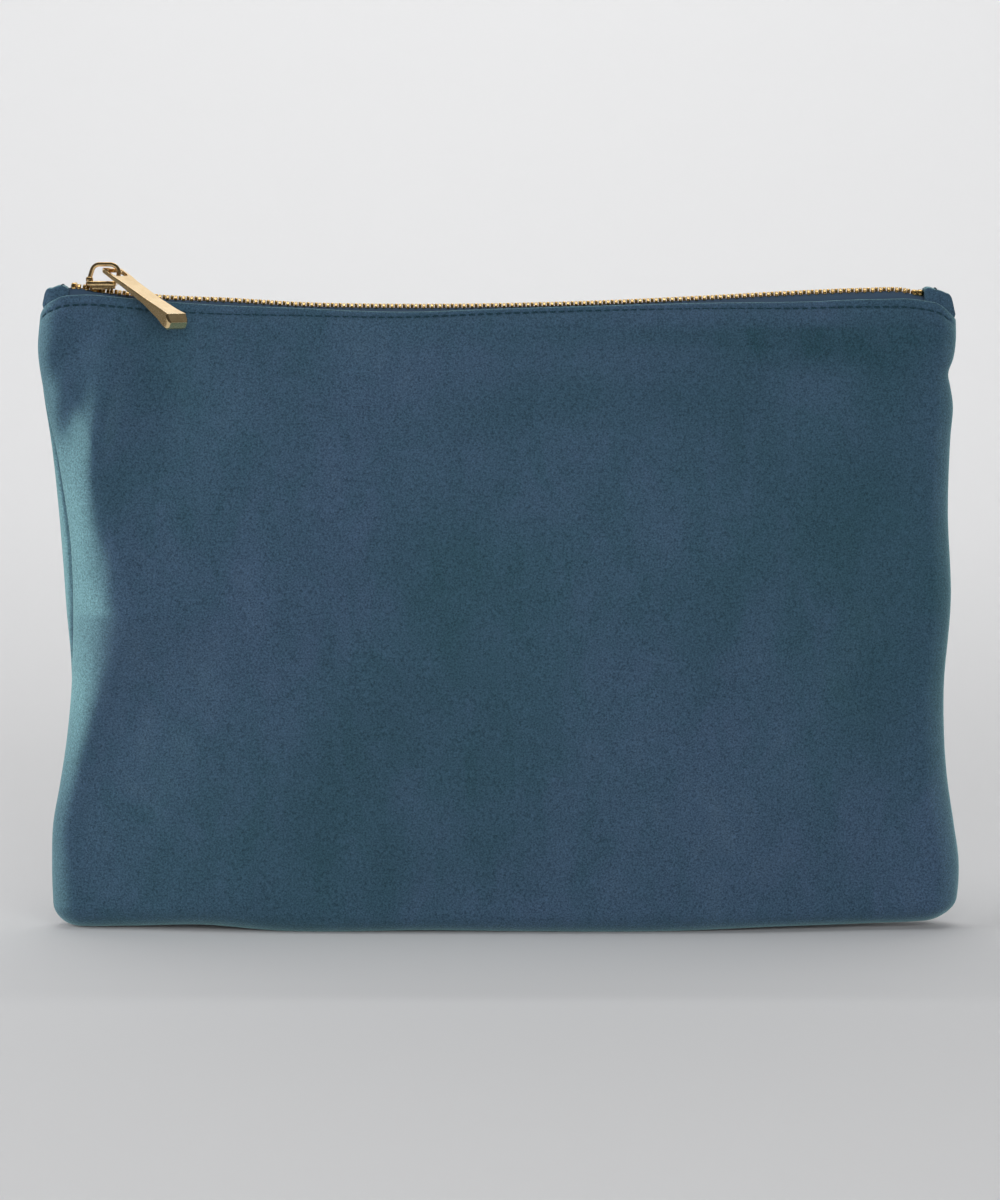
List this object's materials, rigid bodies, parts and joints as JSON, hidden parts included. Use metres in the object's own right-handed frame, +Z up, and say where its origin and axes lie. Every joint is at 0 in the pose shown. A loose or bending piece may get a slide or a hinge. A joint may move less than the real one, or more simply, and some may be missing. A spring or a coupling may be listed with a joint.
{
  "type": "zippered pouch",
  "caption": "Flat soft velvet pouch with a turned, top-stitched mouth closed by a metal zip with a slider and a flared bar puller.",
  "frame": {"origin": "middle of the flat base, on the surface that the pouch stands on", "axes": "+Z up towards the zip; +X along the zip, from its closed end to its open end; -Y to the front, where the puller hangs"},
  "size_m": [0.27, 0.0448, 0.1974],
  "materials": {
    "velvet": "teal-blue velvet pile, soft sheen, mottled by the lie of the pile",
    "velvet_tab": "the same velvet, folded small",
    "interlining": "felted wadding, hidden",
    "lining": "plain woven lining, matt",
    "zip_tape": "tight herringbone-woven tape, matt",
    "thread": "twisted polyester thread",
    "gold_teeth": "polished gold, darker between the teeth",
    "gold_slider": "polished pale gold, lightly worn edges",
    "gold_puller": "polished pale gold, lightly worn edges"
  },
  "bodies": {
    "pouch": {"front_panel": "velvet", "rear_panel": "velvet", "front_interlining": "interlining", "rear_interlining": "interlining", "front_lining": "lining", "rear_lining": "lining", "left_end_tab": "velvet_tab", "right_end_tab": "velvet_tab", "front_tape": "zip_tape", "rear_tape": "zip_tape", "front_teeth_row": "gold_teeth", "rear_teeth_row": "gold_teeth", "front_top_stop": "gold_teeth", "rear_top_stop": "gold_teeth", "bottom_stop": "gold_teeth", "front_topstitch": "thread", "rear_topstitch": "thread", "left_tab_stitch": "thread", "right_tab_stitch": "thread", "left_side_seam": "thread", "right_side_seam": "thread", "bottom_seam": "thread"},
    "slider": {"slider_body": "gold_slider", "slider_bridge": "gold_slider"},
    "puller": {"puller": "gold_puller"}
  },
  "joints": [
    {"name": "zip_slide", "type": "slide", "parent": "pouch", "child": "slider", "axis": [1, 0, 0], "range_m": [0, 0.226], "deforming": ["front_teeth_row", "rear_teeth_row", "front_tape", "rear_tape"]},
    {"name": "puller_swing", "type": "hinge", "parent": "slider", "child": "puller", "pos_m": [-0.1143, 0.0005, 0.1951], "axis": [-0.7071, -0.7071, 0], "range_deg": [0, 112]}
  ]
}
